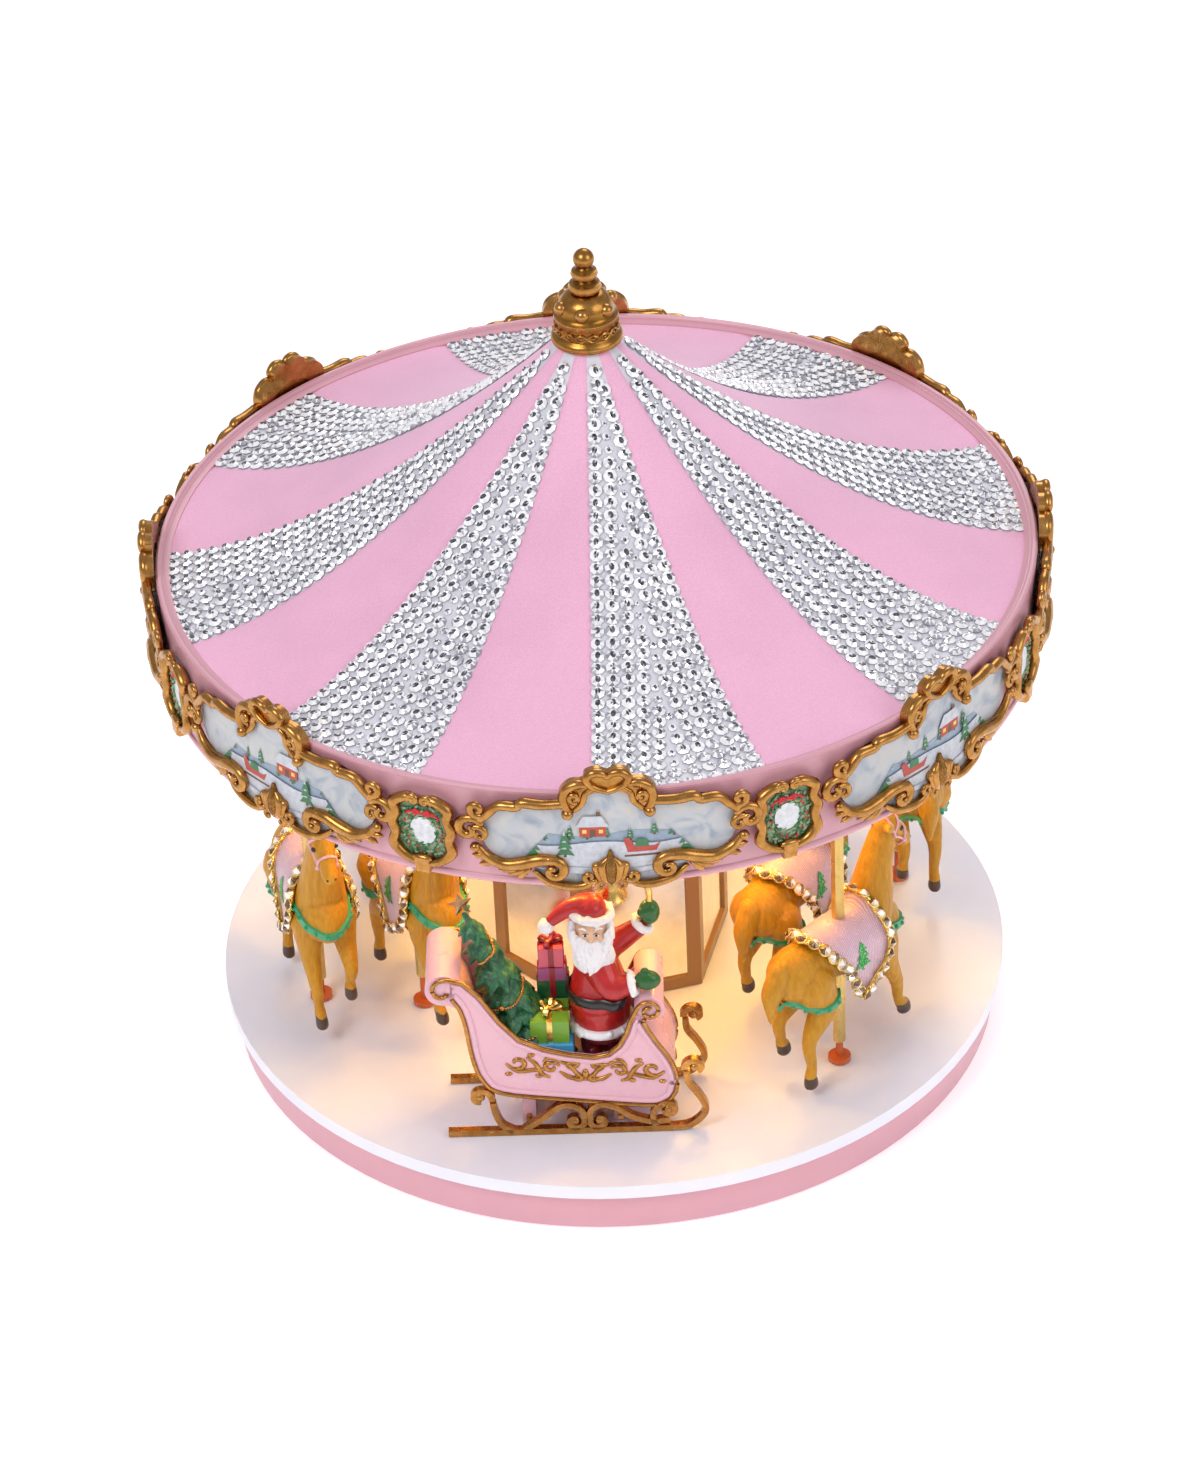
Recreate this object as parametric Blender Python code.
"""Tabletop carousel music box.

A pink base holds a gear motor that turns the carousel: a white platform, a hexagonal
mirrored column and a tented canopy. Ten reindeer ride up and down on brass tubes, which
slide over guide posts and follow a wave cam that stays still above the canopy's ceiling.

Lengths are millimetres and angles are degrees until an object is made, which scales to
metres. An azimuth is measured from the front (-Y) towards +X, the way the carousel turns.
"""

import math

import bmesh
import bpy
from mathutils import Matrix, Vector

METRE = 0.001
GAP = 0.3  # clearance between neighbouring pieces

# Base
BASE_RADIUS = 130.4
BASE_WALL = 2.4
BASE_TOP = 15.0
BASE_LOW = 0.8
DECK_THICK = 2.0
FOOT_HEIGHT = 1.5
FOOT_RADII = (108.0, 124.0)
FLOOR_THICK = 1.5

# Platform
PLATFORM_RADIUS = 133.6
PLATFORM_TOP = 20.3
PLATFORM_THICK = 2.0
PLATFORM_SKIRT = 2.4
PLATFORM_HOLE = 29.9

# Drive: an internal ring gear on the platform and a pinion on the motor's shaft
TOOTH_MODULE = 1.5
RING_TEETH = 36
PINION_TEETH = 9
GEAR_HEIGHT = 6.0
TOOTH_ADDENDUM = 0.75
TOOTH_DEDENDUM = 1.15
RING_GEAR_RADIUS = 31.2
SHAFT_RADIUS = 1.5
MOTOR_RADIUS = 9.0

# Column
COLUMN_CORNER = 41.4
COLUMN_CORNER_AZIMUTH = -15.0
COLUMN_WALL = 3.2
COLUMN_BAR = 4.5
MIRROR_THICK = 1.2

# Canopy
CANOPY_RADIUS = 143.4
CANOPY_WALL = 2.6
CANOPY_LOW = 149.0
CANOPY_TOP = 183.1
CEILING_THICK = 3.0
LEDGE_THICK = 1.7
LEDGE_RADIUS = 138.0
ROOF_LEDGE_TOP = 179.0
ROOF_EDGE_RADIUS = 140.0
ROOF_EDGE_HEIGHT = 181.0
ROOF_RISE = 87.0
ROOF_SWEEP = 1.75
ROOF_THICK = 2.0
ROOF_CROWN_RADIUS = 9.0
FINIAL_TOP = 290.8

# Cornice, laid out flat as (distance round the drum, height)
CORNICE_COUNT = 8
CORNICE_THICK = 4.8
PICTURE_DEPTH = 2.6
CREST_HEIGHT = 194.6
FRAME_HALF_WIDTH = 44.0
PICTURE_CENTRE = 168.9
PICTURE_HALF = (35.5, 7.6)
MEDALLION_CENTRE = (55.2, 166.2)
MEDALLION_HALF = (7.8, 9.8)
CORNICE_CUTS = 8

# Lift: three waves round a still cam; the two groups of tubes are half a wave apart
POST_RADIUS = 1.25
POST_FOOT_RADIUS = 3.8
POST_FOOT_HEIGHT = 1.8
POST_TOP = 70.0
TUBE_RADIUS = 2.2
TUBE_BORE = 1.68
OUTER_CIRCLE = 103.5
INNER_CIRCLE = 72.5
OUTER_AZIMUTHS = (45, 105, 165, 225, 285)
INNER_AZIMUTHS = (56.6, 116.6, 176.6, 236.6, 296.6)
WAVES = 3
WAVE_HEIGHT = 4.0
TUBE_MID_HEIGHT = 30.6
REST_OFFSET = 1.8
ARM_UNDERSIDE = 139.9  # above the tube's lower end
ARM_SIZE = (12.0, 3.0, 3.5)
POST_SHAFT_RADIUS = 6.0
POST_FLANGE_RADIUS = 10.5
CAM_WALL_RADII = (87.0, 89.0)
CAM_SHELF = 6.0
CAM_LOW = 156.0
CAM_MID = 162.0
CAM_DISC = (179.5, 181.5)

# Sleigh
SLEIGH_CENTRE = (-16.0, -91.0)
SLEIGH_TURN = -1.4
SLEIGH_HALF_WIDTH = 13.0
SLEIGH_WALL = 2.0
SLEIGH_FLOOR = 43.0
RUNNER_OFFSET = 13.8
RUNNER_THICK = 1.1
RUNNER_BAR = 1.0

# Power button
BUTTON_RADIUS = 3.0
BUTTON_HEIGHT = 8.2
BUTTON_PROUD = 2.2


def clear_scene():
    for obj in list(bpy.data.objects):
        bpy.data.objects.remove(obj, do_unlink=True)


def material(name, colour, roughness, metallic=0.0):
    """Principled material of one colour."""
    made = bpy.data.materials.new(name)
    made.use_nodes = True
    shader = made.node_tree.nodes["Principled BSDF"]
    shader.inputs["Base Color"].default_value = (*colour, 1.0)
    shader.inputs["Roughness"].default_value = roughness
    shader.inputs["Metallic"].default_value = metallic
    made.diffuse_color = (*colour, 1.0)
    return made


def mesh_of(bm, smooth=False):
    """Closed mesh in metres from a bmesh in millimetres."""
    bmesh.ops.remove_doubles(bm, verts=bm.verts, dist=1e-4)
    loose = [edge for edge in bm.edges if not edge.link_faces]
    bmesh.ops.delete(bm, geom=loose, context="EDGES")
    bmesh.ops.recalc_face_normals(bm, faces=bm.faces)
    bm.transform(Matrix.Scale(METRE, 4))
    mesh = bpy.data.meshes.new("shape")
    bm.to_mesh(mesh)
    bm.free()
    if smooth:
        mesh.shade_smooth()
        mesh.set_sharp_from_angle(angle=math.radians(35))
    return mesh


def add_object(name, mesh, skin=None, place=Matrix.Identity(4)):
    obj = bpy.data.objects.new(name, mesh)
    bpy.context.scene.collection.objects.link(obj)
    obj.matrix_world = place
    mesh.name = name
    if skin is not None and not mesh.materials:
        mesh.materials.append(skin)
    return obj


def moved(x, y, z=0.0, turn=0.0):
    """Placement in millimetres and degrees about Z."""
    place = Matrix.Translation(Vector((x, y, z)) * METRE)
    return place @ Matrix.Rotation(math.radians(turn), 4, "Z")


def at_azimuth(radius, azimuth, height=0.0, turn=0.0):
    """Placement on a circle: local +X points along the travel, local -Y outwards."""
    angle = math.radians(azimuth)
    x = radius * math.sin(angle)
    y = -radius * math.cos(angle)
    return moved(x, y, height, azimuth + turn)


def circle(radius, count, centre=(0.0, 0.0), start=0.0):
    turns = [math.tau * i / count + math.radians(start) for i in range(count)]
    return [(centre[0] + radius * math.cos(t), centre[1] + radius * math.sin(t)) for t in turns]


def oval(centre, half, count, power=1.0):
    """Closed oval; a power under 1 squares its corners."""
    points = []
    for x, y in circle(1.0, count, start=180 / count):
        across = math.copysign(abs(x) ** power, x)
        up = math.copysign(abs(y) ** power, y)
        points.append((centre[0] + half[0] * across, centre[1] + half[1] * up))
    return points


def revolved(section_at, steps, start=0.0):
    """Ring or spindle whose closed (radius, height) outline may change round the turn."""
    bm = bmesh.new()
    rings = []
    for i in range(steps):
        angle = math.tau * i / steps + math.radians(start)
        ring = [
            bm.verts.new((r * math.cos(angle), r * math.sin(angle), z))
            for r, z in section_at(angle)
        ]
        rings.append(ring)
    for near, far in zip(rings, rings[1:] + rings[:1]):
        for j in range(len(near)):
            k = (j + 1) % len(near)
            bm.faces.new((near[j], far[j], far[k], near[k]))
    return bm


def turned(outline, steps, start=0.0):
    """Round piece from one closed (radius, height) outline."""
    return revolved(lambda angle: outline, steps, start)


def add_loop(bm, points, height):
    verts = [bm.verts.new((x, y, height)) for x, y in points]
    return [bm.edges.new((a, b)) for a, b in zip(verts, verts[1:] + verts[:1])]


def plate(loops, low, high):
    """Flat plate between two heights; the first loop is its edge and the others are holes."""
    bm = bmesh.new()
    edges = [edge for points in loops for edge in add_loop(bm, points, low)]
    bmesh.ops.triangle_fill(bm, edges=edges, use_beauty=True)
    raised = bmesh.ops.extrude_face_region(bm, geom=bm.faces[:])["geom"]
    top = [item for item in raised if isinstance(item, bmesh.types.BMVert)]
    bmesh.ops.translate(bm, verts=top, vec=(0, 0, high - low))
    return bm


def upright(outline, near, far):
    """Plate standing in the XZ plane, between two Y values."""
    bm = plate([outline], near, far)
    bm.transform(Matrix(((1, 0, 0, 0), (0, 0, 1, 0), (0, 1, 0, 0), (0, 0, 0, 1))))
    return bm


def block(low, high):
    outline = [(low[0], low[1]), (high[0], low[1]), (high[0], high[1]), (low[0], high[1])]
    return plate([outline], low[2], high[2])


def limb(points, radii, sides, squash=1.0):
    """Tapered rod through points; squash narrows it across Y."""
    bm = bmesh.new()
    spots = [Vector(point) for point in points]
    rings = []
    for i, spot in enumerate(spots):
        along = (spots[min(i + 1, len(spots) - 1)] - spots[max(i - 1, 0)]).normalized()
        side = Vector((0, 1, 0)) if abs(along.y) < 0.9 else Vector((1, 0, 0))
        up = along.cross(side).normalized()
        side = up.cross(along).normalized() * squash
        ring = []
        for j in range(sides):
            turn = math.tau * (j + 0.5) / sides
            offset = (up * math.cos(turn) + side * math.sin(turn)) * radii[i]
            ring.append(bm.verts.new(spot + offset))
        rings.append(ring)
    for near, far in zip(rings, rings[1:]):
        for j in range(sides):
            k = (j + 1) % sides
            bm.faces.new((near[j], near[k], far[k], far[j]))
    bm.faces.new(rings[0][::-1])
    bm.faces.new(rings[-1])
    return bm


def combined(first, others, operation="UNION"):
    """One closed mesh from bmeshes that overlap, or from one cut by the others."""
    body = add_object("body", mesh_of(first))
    tools = [add_object("tool", mesh_of(bm)) for bm in others]
    for tool in tools:
        boolean = body.modifiers.new("join", "BOOLEAN")
        boolean.operation = operation
        boolean.solver = "EXACT"
        boolean.object = tool
    bpy.context.view_layer.update()
    evaluated = body.evaluated_get(bpy.context.evaluated_depsgraph_get())
    mesh = bpy.data.meshes.new_from_object(evaluated)
    mesh.materials.clear()
    for obj in [body, *tools]:
        bpy.data.objects.remove(obj, do_unlink=True)
    return mesh


def bmesh_from(mesh):
    """Millimetre bmesh of a finished mesh."""
    bm = bmesh.new()
    bm.from_mesh(mesh)
    bm.transform(Matrix.Scale(1 / METRE, 4))
    return bm


def smoothed(mesh, angle=35):
    mesh.shade_smooth()
    mesh.set_sharp_from_angle(angle=math.radians(angle))
    return mesh


# ---------------------------------------------------------------- base


def add_base(pink, rubber, black, green):
    wall_in = BASE_RADIUS - BASE_WALL
    deck_low = BASE_TOP - DECK_THICK
    deck_hole = PLATFORM_HOLE + 1.0
    shell = turned(
        [
            (wall_in, BASE_LOW),
            (BASE_RADIUS, BASE_LOW),
            (BASE_RADIUS, BASE_TOP),
            (deck_hole, BASE_TOP),
            (deck_hole, deck_low),
            (wall_in, deck_low),
        ],
        96,
    )
    hole = plate([circle(BUTTON_RADIUS + GAP, 16)], 0, 20)
    hole.transform(Matrix.Rotation(math.radians(-90), 4, "X"))
    hole.transform(Matrix.Translation((0, BASE_RADIUS - 10, BUTTON_HEIGHT)))
    add_object("base_shell", smoothed(combined(shell, [hole], "DIFFERENCE")), pink)

    floor_low = FOOT_HEIGHT + GAP
    floor_top = floor_low + FLOOR_THICK
    floor = plate([circle(wall_in - GAP, 48)], floor_low, floor_top)
    add_object("base_plate", mesh_of(floor, True), black)
    low, high = FOOT_RADII
    foot = turned([(low, 0), (high, 0), (high, FOOT_HEIGHT), (low, FOOT_HEIGHT)], 36)
    add_object("foot_ring", mesh_of(foot, True), rubber)

    inside = floor_top + GAP
    magnet = [(0, inside), (9, inside), (9, inside + 3), (17, inside + 6)]
    speaker = turned([*magnet, (18, inside + 7), (0, inside + 7)], 20)
    add_object("speaker", mesh_of(speaker, True), black, moved(-62, 40))

    board = block((-26, -16, inside + 1.5), (26, 16, inside + 3.1))
    chips = [
        block((-14, -8, inside + 3.0), (2, 4, inside + 4.8)),
        block((10, -10, inside + 3.0), (18, 10, inside + 5.6)),
        block((-24, -14, inside), (-20, -10, inside + 1.6)),
        block((20, -14, inside), (24, -10, inside + 1.6)),
        block((-24, 10, inside), (-20, 14, inside + 1.6)),
        block((20, 10, inside), (24, 14, inside + 1.6)),
    ]
    add_object("circuit_board", combined(board, chips), green, moved(64, 36, 0, 30))
    return inside


def add_button(gold):
    """Push button through the back of the base, on its own axis; it travels inwards."""
    wall_in = -BASE_WALL
    outline = [
        (0, wall_in - 2.0),
        (BUTTON_RADIUS + 1.4, wall_in - 2.0),
        (BUTTON_RADIUS + 1.4, wall_in - 0.5),
        (BUTTON_RADIUS, wall_in - 0.5),
        (BUTTON_RADIUS, BUTTON_PROUD - 0.6),
        (BUTTON_RADIUS - 0.6, BUTTON_PROUD),
        (0, BUTTON_PROUD),
    ]
    button = turned(outline, 16)
    button.transform(Matrix.Rotation(math.radians(-90), 4, "X"))
    place = moved(0, BASE_RADIUS, BUTTON_HEIGHT)
    add_object("power_button", mesh_of(button, True), gold, place)


def add_center_post(steel, inside):
    top = CAM_DISC[1]
    outline = [
        (0, inside),
        (POST_FLANGE_RADIUS, inside),
        (POST_FLANGE_RADIUS, inside + 2),
        (POST_SHAFT_RADIUS, inside + 2),
        (POST_SHAFT_RADIUS, top),
        (0, top),
    ]
    add_object("center_post", mesh_of(turned(outline, 16), True), steel)


# ---------------------------------------------------------------- drive


def tooth_outline(teeth, tip_radius, root_radius, tip_share, root_share):
    """Gear outline: each tooth is a trapezium, wider at its root than at its tip."""
    points = []
    pitch = math.tau / teeth
    for i in range(teeth):
        corners = (
            (-root_share, root_radius),
            (-tip_share, tip_radius),
            (tip_share, tip_radius),
            (root_share, root_radius),
        )
        for share, radius in corners:
            angle = pitch * (i + share / 2)
            points.append((radius * math.cos(angle), radius * math.sin(angle)))
    return points


def drive_offset():
    """Distance from the carousel's axis to the pinion's."""
    return TOOTH_MODULE * (RING_TEETH - PINION_TEETH) / 2


def add_drive(nylon, steel, inside):
    low = PLATFORM_TOP + GAP
    high = low + GEAR_HEIGHT
    ring_pitch = TOOTH_MODULE * RING_TEETH / 2
    pinion_pitch = TOOTH_MODULE * PINION_TEETH / 2
    teeth = tooth_outline(
        RING_TEETH,
        ring_pitch - TOOTH_MODULE * TOOTH_ADDENDUM,
        ring_pitch + TOOTH_MODULE * TOOTH_DEDENDUM,
        0.22,
        0.58,
    )
    ring = plate([circle(RING_GEAR_RADIUS, 36), teeth], low, high)
    add_object("ring_gear", mesh_of(ring), nylon)

    teeth = tooth_outline(
        PINION_TEETH,
        pinion_pitch + TOOTH_MODULE * TOOTH_ADDENDUM,
        pinion_pitch - TOOTH_MODULE * TOOTH_DEDENDUM,
        0.24,
        0.62,
    )
    bore = circle(SHAFT_RADIUS + GAP, 10)
    pinion = plate([teeth, bore], low, high)
    # Half a tooth round, so that a tooth of the ring stands in a gap of the pinion
    place = moved(drive_offset(), 0, 0, 180 / PINION_TEETH)
    add_object("drive_pinion", mesh_of(pinion), nylon, place)

    body_top = low - 1.5
    outline = [
        (0, inside),
        (MOTOR_RADIUS, inside),
        (MOTOR_RADIUS, body_top),
        (SHAFT_RADIUS, body_top),
        (SHAFT_RADIUS, high - 0.5),
        (0, high - 0.5),
    ]
    motor = turned(outline, 16)
    add_object("gear_motor", mesh_of(motor, True), steel, moved(drive_offset(), 0))


def add_lift_cam(nylon):
    """Still disc with a hanging wall; the shelf on each side of the wall is a wave."""
    wall_in, wall_out = CAM_WALL_RADII
    hub = POST_SHAFT_RADIUS + GAP
    low, high = CAM_DISC

    def wave(angle, azimuth, sign):
        """Shelf height; the wave stands REST_OFFSET from its middle at the azimuth."""
        first = math.asin(sign * REST_OFFSET / WAVE_HEIGHT)
        turn = angle + math.pi / 2 - math.radians(azimuth)
        return CAM_MID + WAVE_HEIGHT * math.sin(WAVES * turn + first)

    def section(angle):
        inner = wave(angle, INNER_AZIMUTHS[0], 1)
        outer = wave(angle, OUTER_AZIMUTHS[0], -1)
        return [
            (hub, low),
            (wall_in, low),
            (wall_in, inner),
            (wall_in - CAM_SHELF, inner),
            (wall_in - CAM_SHELF, CAM_LOW),
            (wall_out + CAM_SHELF, CAM_LOW),
            (wall_out + CAM_SHELF, outer),
            (wall_out, outer),
            (wall_out, high),
            (hub, high),
        ]

    add_object("lift_cam", mesh_of(revolved(section, 36), True), nylon)


# ---------------------------------------------------------------- platform and column


def add_platform(white):
    deck_low = PLATFORM_TOP - PLATFORM_THICK
    skirt_in = PLATFORM_RADIUS - PLATFORM_SKIRT
    skirt_low = BASE_TOP + GAP
    outline = [
        (PLATFORM_HOLE, deck_low),
        (skirt_in, deck_low),
        (skirt_in, skirt_low),
        (PLATFORM_RADIUS, skirt_low),
        (PLATFORM_RADIUS, PLATFORM_TOP),
        (PLATFORM_HOLE, PLATFORM_TOP),
    ]
    add_object("platform", mesh_of(turned(outline, 96), True), white)


def hexagon_tube(corner, wall, low, high):
    inner = corner - wall
    outline = [(inner, low), (corner, low), (corner, high), (inner, high)]
    return turned(outline, 6, COLUMN_CORNER_AZIMUTH - 90)


def add_column(bronze, mirror):
    low = PLATFORM_TOP + GAP
    high = CANOPY_LOW + LEDGE_THICK
    tube = hexagon_tube(COLUMN_CORNER, COLUMN_WALL, low, high)
    half = COLUMN_CORNER / 2 - COLUMN_BAR
    windows = []
    for i in range(3):
        window = block((-half, -50, low + COLUMN_BAR), (half, 50, high - COLUMN_BAR))
        turn = math.radians(COLUMN_CORNER_AZIMUTH + 30 + 60 * i)
        window.transform(Matrix.Rotation(turn, 4, "Z"))
        windows.append(window)
    frame = combined(tube, windows, "DIFFERENCE")
    add_object("column_frame", frame, bronze)
    corner = COLUMN_CORNER - COLUMN_WALL - GAP * 1.2
    sleeve = hexagon_tube(corner, MIRROR_THICK, low, high)
    add_object("mirror_sleeve", mesh_of(sleeve), mirror)


# ---------------------------------------------------------------- canopy


def roof_height(radius):
    """Tent curve: steep at the finial and nearly flat at the rim."""
    share = max(0.0, 1 - radius / ROOF_EDGE_RADIUS)
    return ROOF_EDGE_HEIGHT + ROOF_RISE * share**ROOF_SWEEP


def tube_places():
    """Circle radius, azimuth and lower end of each tube; the lowest group comes first."""
    places = []
    for radius, azimuths, sign in (
        (OUTER_CIRCLE, OUTER_AZIMUTHS, -1),
        (INNER_CIRCLE, INNER_AZIMUTHS, 1),
    ):
        for i, azimuth in enumerate(azimuths):
            offset = sign * REST_OFFSET * (1 if i % 2 == 0 else -1)
            places.append((radius, azimuth, TUBE_MID_HEIGHT + offset))
    return places


def add_canopy(pink, roof_pink, gold, white):
    inner = CANOPY_RADIUS - CANOPY_WALL
    ledge_top = CANOPY_LOW + LEDGE_THICK
    roof_ledge = ROOF_LEDGE_TOP - LEDGE_THICK
    outline = [
        (LEDGE_RADIUS, CANOPY_LOW),
        (CANOPY_RADIUS, CANOPY_LOW),
        (CANOPY_RADIUS, CANOPY_TOP),
        (inner, CANOPY_TOP),
        (inner, ROOF_LEDGE_TOP),
        (LEDGE_RADIUS, ROOF_LEDGE_TOP),
        (LEDGE_RADIUS, roof_ledge),
        (inner, roof_ledge),
        (inner, ledge_top),
        (LEDGE_RADIUS, ledge_top),
    ]
    add_object("canopy_drum", mesh_of(turned(outline, 96), True), pink)

    holes = []
    for radius, azimuth, _ in tube_places():
        angle = math.radians(azimuth)
        centre = (radius * math.sin(angle), -radius * math.cos(angle))
        holes.append(circle(TUBE_RADIUS + 0.6, 8, centre))
    post_hole = circle(POST_SHAFT_RADIUS + 2, 12)
    loops = [circle(inner - GAP, 64), post_hole, *holes]
    ceiling = plate(loops, ledge_top + GAP, ledge_top + GAP + CEILING_THICK)
    add_object("canopy_ceiling", mesh_of(ceiling), white)

    radii = [ROOF_CROWN_RADIUS, 30, 52, 75, 100, ROOF_EDGE_RADIUS]
    upper = [(r, roof_height(r)) for r in radii]
    under = [(r, roof_height(r) - ROOF_THICK) for r in (100, 62, 30, ROOF_CROWN_RADIUS)]
    edge_low = ROOF_LEDGE_TOP + GAP
    rim = [(inner - GAP, ROOF_EDGE_HEIGHT - 0.6), (inner - GAP, edge_low), (130, edge_low)]
    crown = upper[0][1]
    outline = [(0, crown), *upper, *rim, *under, (0, crown - ROOF_THICK)]
    add_object("roof_shell", mesh_of(turned(outline, 48), True), roof_pink)
    add_finial(gold, crown + GAP)


def add_finial(gold, low):
    """Turned crown: flared foot, domed band, two rings and a ball."""
    ball = 3.5
    ball_centre = FINIAL_TOP - ball
    ball_arc = [
        (ball * math.cos(math.radians(a)), ball_centre + ball * math.sin(math.radians(a)))
        for a in (-50, -15, 20, 55)
    ]
    outline = [
        (0, low),
        (11.6, low),
        (11.6, low + 3),
        (10.0, low + 5.5),
        (10.2, low + 9),
        (8.7, low + 12),
        (7.4, low + 15.5),
        (3.6, low + 17),
        (5.4, low + 19),
        (3.2, low + 21),
        (4.5, low + 24.4),
        *ball_arc,
        (0, FINIAL_TOP),
    ]
    add_object("finial", mesh_of(turned(outline, 16), True), gold)


def cornice_outline():
    """Cartouche with a heart crest and a shell below, joined to a medallion on one side."""
    middle = PICTURE_CENTRE
    half = FRAME_HALF_WIDTH
    crest = [(0, CREST_HEIGHT - 1.2), (3.6, CREST_HEIGHT), (6.8, 191.2), (11.6, 190.2), (14.6, 185.4)]
    upper = [*crest, (15.5, 182.8), (30, 180.6)]
    lower = [(30, 158.6), (17, 157), (10, 153.4), (5, 150.4), (0, 149.6)]
    end = [(38.5, 176), (half, middle), (38.5, 162)]
    cx, cz = MEDALLION_CENTRE
    medallion = [
        (44.3, middle + 5),
        (cx - 8, cz + 10),
        (cx, cz + 14.3),
        (cx + 8, cz + 10),
        (cx + 11.2, cz),
        (cx + 8, cz - 10),
        (cx, cz - 14.3),
        (cx - 8, cz - 10),
        (44.3, middle - 4.5),
    ]
    right = [*upper, end[0], *medallion, end[2], *lower]
    left = [(-x, z) for x, z in [*upper, *end, *lower][1:-1]]
    return right + left[::-1]


def add_cornice(gold):
    """Curved frames round the canopy; each is flat work bent round the drum."""
    bm = bmesh.new()
    back = CANOPY_RADIUS + GAP
    front = back + CORNICE_THICK
    rim = add_loop(bm, cornice_outline(), front)
    pictures = [
        oval((0, PICTURE_CENTRE), PICTURE_HALF, 16, 0.8),
        oval(MEDALLION_CENTRE, MEDALLION_HALF, 8),
    ]
    windows = [add_loop(bm, points, front) for points in pictures]
    all_edges = rim + [edge for loop in windows for edge in loop]
    bmesh.ops.triangle_fill(bm, edges=all_edges, use_beauty=True)
    for loop, depth in ((rim, CORNICE_THICK), *((w, PICTURE_DEPTH) for w in windows)):
        pushed = bmesh.ops.extrude_edge_only(bm, edges=loop)["geom"]
        verts = [item for item in pushed if isinstance(item, bmesh.types.BMVert)]
        edges = [item for item in pushed if isinstance(item, bmesh.types.BMEdge)]
        bmesh.ops.translate(bm, verts=verts, vec=(0, 0, -depth))
        bmesh.ops.triangle_fill(bm, edges=edges, use_beauty=True)
    spacing = 2 * 60 / CORNICE_CUTS
    for i in range(CORNICE_CUTS + 1):
        where = (spacing * i - 48, 0, 0)
        geom = bm.verts[:] + bm.edges[:] + bm.faces[:]
        bmesh.ops.bisect_plane(bm, geom=geom, plane_co=where, plane_no=(1, 0, 0), dist=0.05)
    for vert in bm.verts:
        angle = vert.co.x / back
        height = vert.co.y
        radius = vert.co.z
        vert.co = (radius * math.sin(angle), -radius * math.cos(angle), height)
    mesh = mesh_of(bm)
    for i in range(CORNICE_COUNT):
        place = moved(0, 0, 0, 360 / CORNICE_COUNT * i)
        add_object(f"cornice_segment_{i + 1}", mesh, gold, place)


# ---------------------------------------------------------------- riders


def tube_mesh():
    """Octagonal tube with an arm at its head that reaches over the cam."""
    length, width, height = ARM_SIZE
    top = ARM_UNDERSIDE + height
    outline = [(TUBE_BORE, 0), (TUBE_RADIUS, 0), (TUBE_RADIUS, top), (TUBE_BORE, top)]
    tube = turned(outline, 8, 22.5)
    arm = block((-width / 2, 1.75, ARM_UNDERSIDE), (width / 2, length, top))
    return combined(tube, [arm])


def reindeer_mesh():
    """Prancing reindeer round its tube, facing +X, above the tube's lower end."""
    trunk = limb(
        [(-28, 0, 41), (-19, 0, 41), (2, 0, 38.5), (19, 0, 38), (25.5, 0, 35)],
        [5, 11.5, 10.5, 11, 5],
        6,
        0.85,
    )
    legs = [
        limb([(17, -5.5, 33), (22, -5.5, 12), (23.5, -5.5, 0)], [5, 2.2, 2.6], 4),
        limb([(15, 5.5, 33), (26, 5.5, 22), (24, 5.5, 10)], [5, 2.6, 2.6], 4),
        limb([(-19, -5.5, 34), (-18, -5.5, 14), (-22.5, -5.5, -5.5)], [6, 2.2, 2.6], 4),
        limb([(-19, 5.5, 34), (-20, 5.5, 19), (-26.5, 5.5, 12)], [6, 2.2, 2.6], 4),
    ]
    neck = limb([(14, 0, 40), (17, 0, 54), (22, 0, 72)], [9.5, 7.8, 4.8], 5, 0.8)
    head = limb([(21, 0, 77), (26.5, 0, 73), (32.5, 0, 65)], [4.0, 4.6, 2.8], 5, 0.8)
    bore = plate([circle(TUBE_RADIUS + GAP, 8, start=22.5)], 10, 70)
    figure = combined(trunk, [*legs, neck, head])
    return smoothed(combined(bmesh_from(figure), [bore], "DIFFERENCE"), 50)


def post_mesh():
    low = PLATFORM_TOP + GAP
    foot_top = low + POST_FOOT_HEIGHT
    outline = [
        (0, low),
        (POST_FOOT_RADIUS, low),
        (POST_FOOT_RADIUS, foot_top),
        (POST_RADIUS, foot_top),
        (POST_RADIUS, POST_TOP),
        (0, POST_TOP),
    ]
    return mesh_of(turned(outline, 16), True)


def add_riders(fur, brass, orange):
    tube = tube_mesh()
    reindeer = reindeer_mesh()
    post = post_mesh()
    for i, (radius, azimuth, height) in enumerate(tube_places()):
        # The outer arms point inwards to the cam and the inner ones outwards
        turn = 0 if radius == OUTER_CIRCLE else 180
        add_object(f"guide_post_{i + 1}", post, orange, at_azimuth(radius, azimuth))
        add_object(f"pole_tube_{i + 1}", tube, brass, at_azimuth(radius, azimuth, height, turn))
        add_object(f"reindeer_{i + 1}", reindeer, fur, at_azimuth(radius, azimuth, height))


# ---------------------------------------------------------------- sleigh


def arc(centre, radius, first, last, count):
    points = []
    for i in range(count + 1):
        angle = math.radians(first + (last - first) * i / count)
        points.append((centre[0] + radius * math.cos(angle), centre[1] + radius * math.sin(angle)))
    return points


def ribbon(path, half):
    """Closed outline of a flat strip along a path."""
    left = []
    right = []
    for i, point in enumerate(path):
        ahead = Vector(path[min(i + 1, len(path) - 1)])
        behind = Vector(path[max(i - 1, 0)])
        along = (ahead - behind).normalized()
        across = Vector((-along.y, along.x)) * half
        left.append(tuple(Vector(point) + across))
        right.append(tuple(Vector(point) - across))
    return left + right[::-1]


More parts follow.
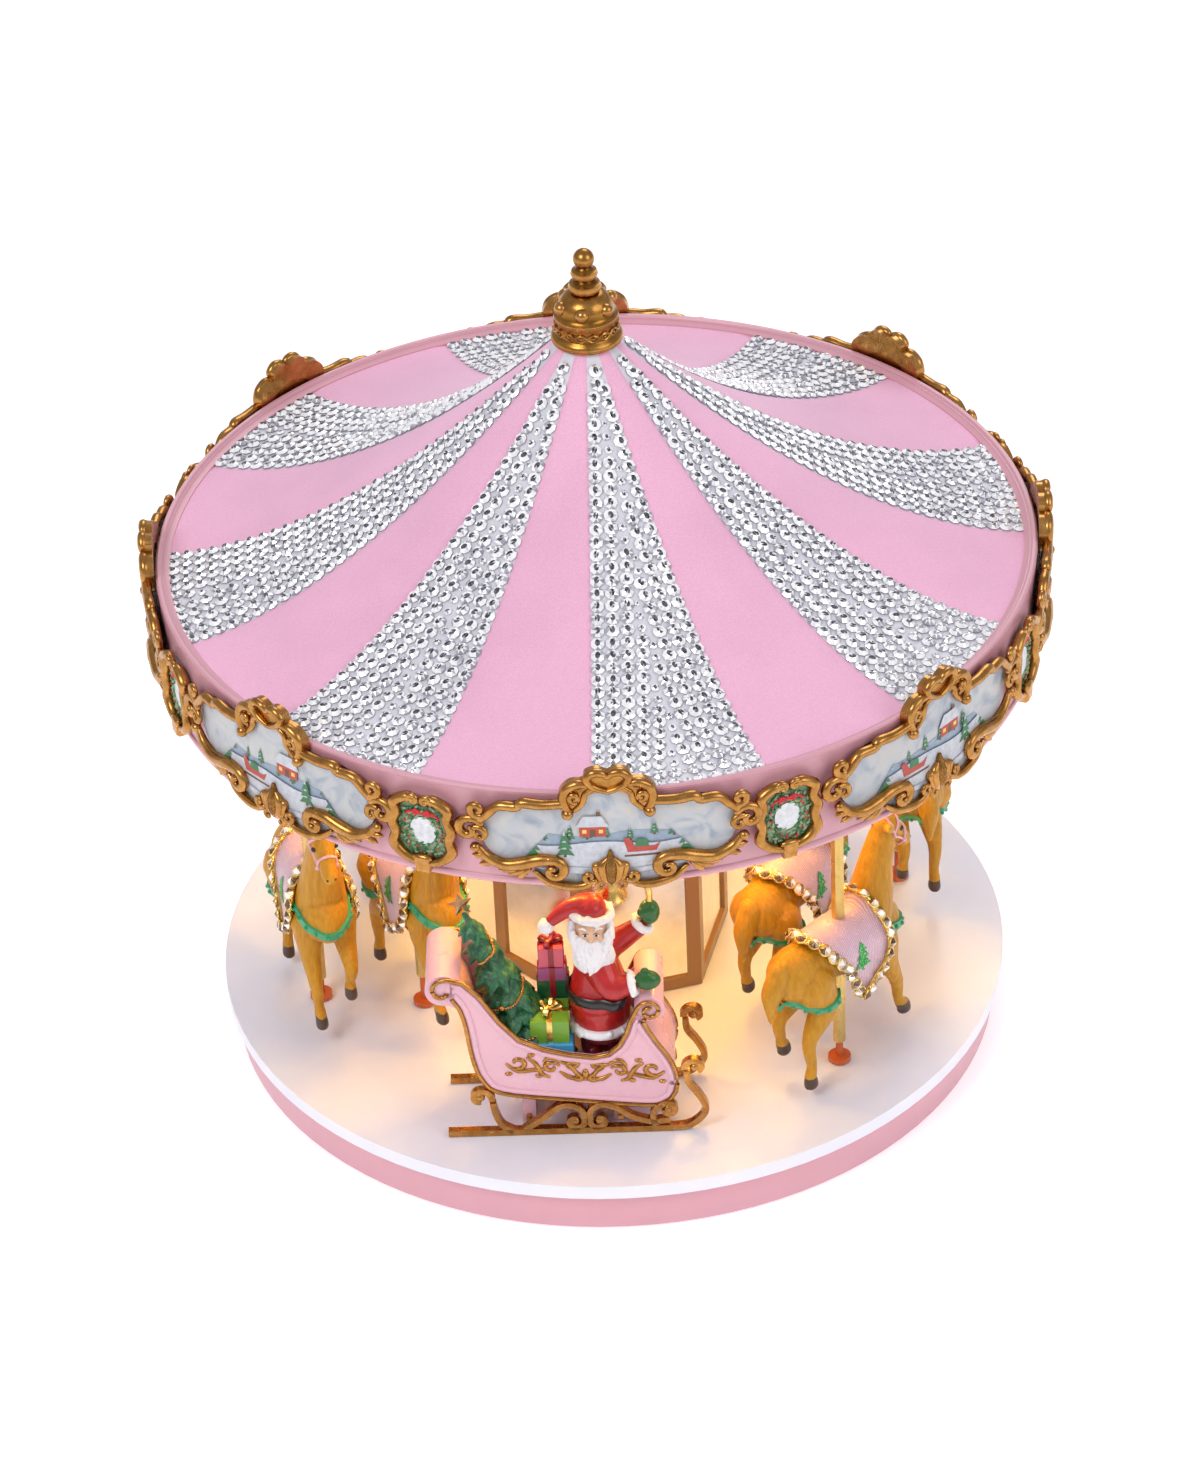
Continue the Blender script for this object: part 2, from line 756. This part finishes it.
def add_sleigh(pink, gold):
    """Tub with a tall curled back at -X and a low curled dash at +X, on scrolled runners."""
    place = moved(*SLEIGH_CENTRE, 0, SLEIGH_TURN)
    outline = [
        *arc((-39.2, 79.6), 5.2, 40, 230, 6),
        (-34.5, 72),
        (-32.4, 64.6),
        (-30.8, 52.1),
        (-27.4, 42.5),
        (-21.8, 37),
        (23.8, 30.8),
        (31, 31.8),
        (34.6, 38),
        (34.4, 45),
        (28.6, 57),
        (24.6, 65),
        *arc((26.6, 69.4), 4.0, -70, 150, 5),
        (20.6, 66),
        (19, 60.6),
        (14.8, 53.6),
        (8.2, 51.4),
        (-3, 53.6),
        (-15.7, 59),
        (-21.8, 67),
        (-27.7, 78),
    ]
    tub = upright(outline, -SLEIGH_HALF_WIDTH, SLEIGH_HALF_WIDTH)
    hollow = [
        (-25, SLEIGH_FLOOR),
        (31.8, SLEIGH_FLOOR),
        (32.2, 45.5),
        (26.6, 56),
        (22.3, 64),
        (22.3, 90),
        (-31.5, 90),
        (-32.2, 72),
        (-30.2, 64.6),
        (-28.6, 53),
    ]
    room = SLEIGH_HALF_WIDTH - SLEIGH_WALL
    cut = upright(hollow, -room, room)
    add_object("sleigh_body", combined(tub, [cut], "DIFFERENCE"), pink, place)

    low = PLATFORM_TOP + GAP
    bar = low + RUNNER_BAR
    frame_path = [(-40, bar), (32, bar), *arc((32, bar + 11.5), 11.5, -70, 60, 6), (40, 49)]
    braces = [
        [(-30, bar + 0.5), (-27, 27), (-29, 33)],
        [(-8, bar + 0.5), (-2, 26), (8, 29), (18, 26), (24, bar + 0.5)],
    ]
    pieces = []
    for sign in (-1, 1):
        near = sign * RUNNER_OFFSET - RUNNER_THICK / 2
        far = near + RUNNER_THICK
        pieces.append(upright(ribbon(frame_path, RUNNER_BAR), near, far))
        pieces += [upright(ribbon(path, 0.9), near, far) for path in braces]
    for x, z in ((-27.4, 28), (8, 28.8)):
        span = RUNNER_OFFSET
        pieces.append(block((x - 1, -span, z - 1), (x + 1, span, z + 1)))
    add_object("sleigh_runners", combined(pieces[0], pieces[1:]), gold, place)


def add_santa(red):
    """Standing figure with one arm raised, in the front half of the sleigh."""
    place = moved(*SLEIGH_CENTRE, 0, SLEIGH_TURN)
    low = SLEIGH_FLOOR + GAP
    coat = limb([(11, 1, low), (11, 1, 53), (10.5, 1, 70), (10, 1, 83)], [5, 9.8, 8.8, 6.6], 8)
    parts = [
        limb([(10, 1, 80), (9.4, 0.6, 86), (9, 0.6, 94), (8, 0.6, 98)], [4, 6.8, 7, 5.6], 8),
        limb([(8.3, 0.6, 96), (6.5, 0.6, 101), (5.5, 0.6, 104.4)], [6, 4.6, 2], 6),
        limb([(6, 0.6, 102), (0, -0.6, 101), (-5.5, -1, 96)], [2.6, 2.4, 2.6], 5),
        limb([(12, 3, 81), (20, 5.6, 86), (27.5, 5, 97)], [4.6, 3.8, 2.8], 6),
        limb([(12, -4, 80), (17.4, -8, 76), (24, -8, 78)], [4.6, 3.8, 2.8], 6),
        # A crook held upright, with a bell hung from its end
        limb([(27.5, 5, 96), (27.5, 5, 105), (22, 7, 110), (15.4, 9.6, 107)], [1.3, 1.1, 1.1, 1.1], 6),
        limb([(15.4, 9.6, 108.2), (15.4, 9.6, 104), (15.4, 9.6, 98.8)], [1.4, 3.2, 5.2], 8),
    ]
    add_object("santa", smoothed(combined(coat, parts), 50), red, place)


def add_cargo(green):
    """Leaning tree and a stack of gifts behind the figure."""
    place = moved(*SLEIGH_CENTRE, 0, SLEIGH_TURN)
    low = SLEIGH_FLOOR + GAP
    lean = [(-14, 0, low + 1), (-14.6, 0, 50), (-18.5, 0, 68), (-19, 0, 70), (-32, 0, 103)]
    tree = limb(lean, [3.5, 10.6, 9, 10, 0.8], 9)
    gifts = [
        block((-13, -8, low), (1.2, 8, 54)),
        block((-12, -8, 53.5), (0.5, 4, 62.5)),
        block((-9.5, 3.5, 53.5), (0.5, 9, 82)),
    ]
    add_object("sleigh_cargo", combined(tree, gifts), green, place)


def build():
    clear_scene()
    pink = material("pink_plastic", (0.92, 0.6, 0.68), 0.45)
    roof_pink = material("roof_fabric", (0.9, 0.55, 0.75), 0.9)
    white = material("white_plastic", (0.93, 0.92, 0.94), 0.4)
    gold = material("antique_gold", (0.72, 0.45, 0.12), 0.35, 0.9)
    brass = material("brass_tube", (0.8, 0.6, 0.25), 0.25, 1.0)
    bronze = material("bronze_frame", (0.45, 0.28, 0.1), 0.4, 0.8)
    mirror = material("mirror_panel", (0.9, 0.85, 0.75), 0.08, 1.0)
    steel = material("zinc_steel", (0.6, 0.6, 0.62), 0.35, 1.0)
    nylon = material("nylon", (0.9, 0.88, 0.8), 0.5)
    rubber = material("foot_rubber", (0.05, 0.05, 0.05), 0.85)
    black = material("black_plastic", (0.04, 0.04, 0.045), 0.5)
    board = material("circuit_green", (0.02, 0.2, 0.08), 0.5)
    orange = material("orange_plastic", (0.75, 0.2, 0.04), 0.3)
    fur = material("reindeer_fur", (0.45, 0.25, 0.09), 0.8)
    red = material("santa_red", (0.65, 0.03, 0.03), 0.6)
    tree = material("tree_green", (0.02, 0.16, 0.08), 0.6)

    inside = add_base(pink, rubber, black, board)
    add_button(gold)
    add_center_post(steel, inside)
    add_drive(nylon, steel, inside)
    add_lift_cam(nylon)
    add_platform(white)
    add_column(bronze, mirror)
    add_canopy(pink, roof_pink, gold, white)
    add_cornice(gold)
    add_riders(fur, brass, orange)
    add_sleigh(pink, gold)
    add_santa(red)
    add_cargo(tree)


build()
